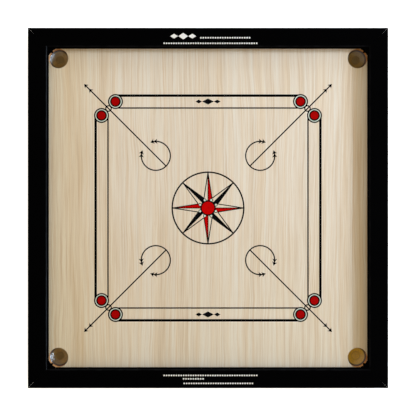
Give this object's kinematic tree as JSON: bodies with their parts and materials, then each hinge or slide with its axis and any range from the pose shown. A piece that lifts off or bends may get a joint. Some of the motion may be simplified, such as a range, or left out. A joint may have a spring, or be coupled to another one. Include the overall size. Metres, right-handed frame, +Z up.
{
  "type": "carrom board",
  "caption": "Square plywood carrom board in a black mitred frame, with a leather-bagged pocket in each corner, printed base lines, arrows and star, and a batten lattice underneath.",
  "frame": {"origin": "the middle of the underside, on the surface that the frame rests on", "axes": "+Z up out of the playing surface, +X to the right of the player at the front, +Y away from that player"},
  "size_m": [0.829, 0.829, 0.076],
  "materials": {
    "black_lacquer": "black satin lacquer on hardwood",
    "playing_ply": "pale birch veneer plywood under clear lacquer",
    "batten_wood": "planed softwood",
    "spline_wood": "plain beech",
    "zinc_steel": "yellow zinc plate",
    "white_nylon": "moulded, matt",
    "bag_leather": "golden brown, glossy, worn",
    "black_ink": "screen-printed ink under lacquer",
    "red_ink": "screen-printed ink under lacquer"
  },
  "bodies": {
    "root": {"playing_board": "playing_ply", "frame_rail_front": "black_lacquer", "edge_batten_front": "batten_wood", "batten_screw_front_a": "zinc_steel", "batten_screw_front_b": "zinc_steel", "frame_rail_right": "black_lacquer", "edge_batten_right": "batten_wood", "batten_screw_right_a": "zinc_steel", "batten_screw_right_b": "zinc_steel", "frame_rail_back": "black_lacquer", "edge_batten_back": "batten_wood", "batten_screw_back_a": "zinc_steel", "batten_screw_back_b": "zinc_steel", "frame_rail_left": "black_lacquer", "edge_batten_left": "batten_wood", "batten_screw_left_a": "zinc_steel", "batten_screw_left_b": "zinc_steel", "corner_block_back_right": "black_lacquer", "mitre_spline_back_right": "spline_wood", "pocket_ring_back_right": "white_nylon", "pocket_bag_back_right": "bag_leather", "ring_screw_back_right_a": "zinc_steel", "ring_screw_back_right_b": "zinc_steel", "corner_block_back_left": "black_lacquer", "mitre_spline_back_left": "spline_wood", "pocket_ring_back_left": "white_nylon", "pocket_bag_back_left": "bag_leather", "ring_screw_back_left_a": "zinc_steel", "ring_screw_back_left_b": "zinc_steel", "corner_block_front_left": "black_lacquer", "mitre_spline_front_left": "spline_wood", "pocket_ring_front_left": "white_nylon", "pocket_bag_front_left": "bag_leather", "ring_screw_front_left_a": "zinc_steel", "ring_screw_front_left_b": "zinc_steel", "corner_block_front_right": "black_lacquer", "mitre_spline_front_right": "spline_wood", "pocket_ring_front_right": "white_nylon", "pocket_bag_front_right": "bag_leather", "ring_screw_front_right_a": "zinc_steel", "ring_screw_front_right_b": "zinc_steel", "lattice_batten_across_near": "batten_wood", "lattice_batten_across_middle": "batten_wood", "lattice_batten_across_far": "batten_wood", "lattice_batten_along_near": "batten_wood", "lattice_batten_along_middle": "batten_wood", "lattice_batten_along_far": "batten_wood", "line_print": "black_ink", "star_print": "black_ink", "centre_spot": "red_ink"}
  },
  "joints": []
}
